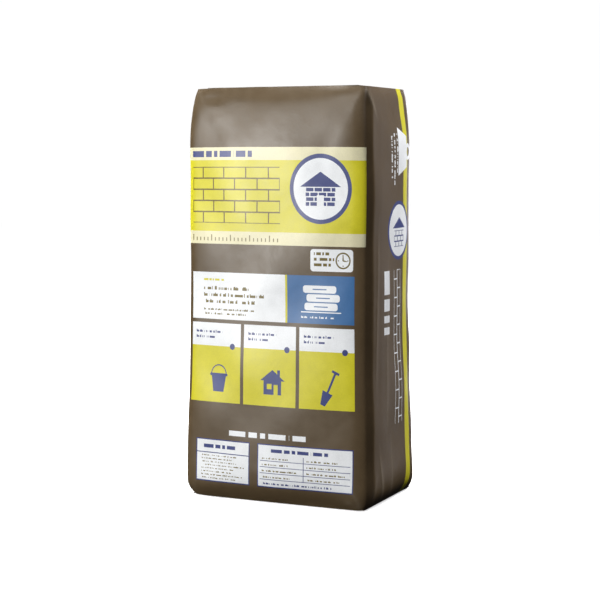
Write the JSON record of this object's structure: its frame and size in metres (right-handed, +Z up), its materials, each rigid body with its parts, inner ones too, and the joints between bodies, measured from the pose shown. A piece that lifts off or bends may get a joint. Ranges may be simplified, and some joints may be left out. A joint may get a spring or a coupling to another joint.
{
  "type": "cement bag",
  "caption": "Filled block-bottom paper valve sack of cement, standing upright, with settled crowned faces and pasted flat ends.",
  "frame": {"origin": "on the ground under the middle of the bag, at the bottom of its box", "axes": "+X along the bag's width, to the right seen from the front; +Y through its depth, with the printed front facing -Y; +Z up along its height"},
  "size_m": [0.276, 0.174, 0.535],
  "materials": {
    "printed_paper": "satin print varnish",
    "cover_paper": "satin print varnish",
    "valve_paper": "matt"
  },
  "bodies": {
    "root": {"sack": "printed_paper", "top_cover_sheet": "cover_paper", "bottom_cover_sheet": "cover_paper", "valve_sleeve": "valve_paper"}
  },
  "joints": []
}
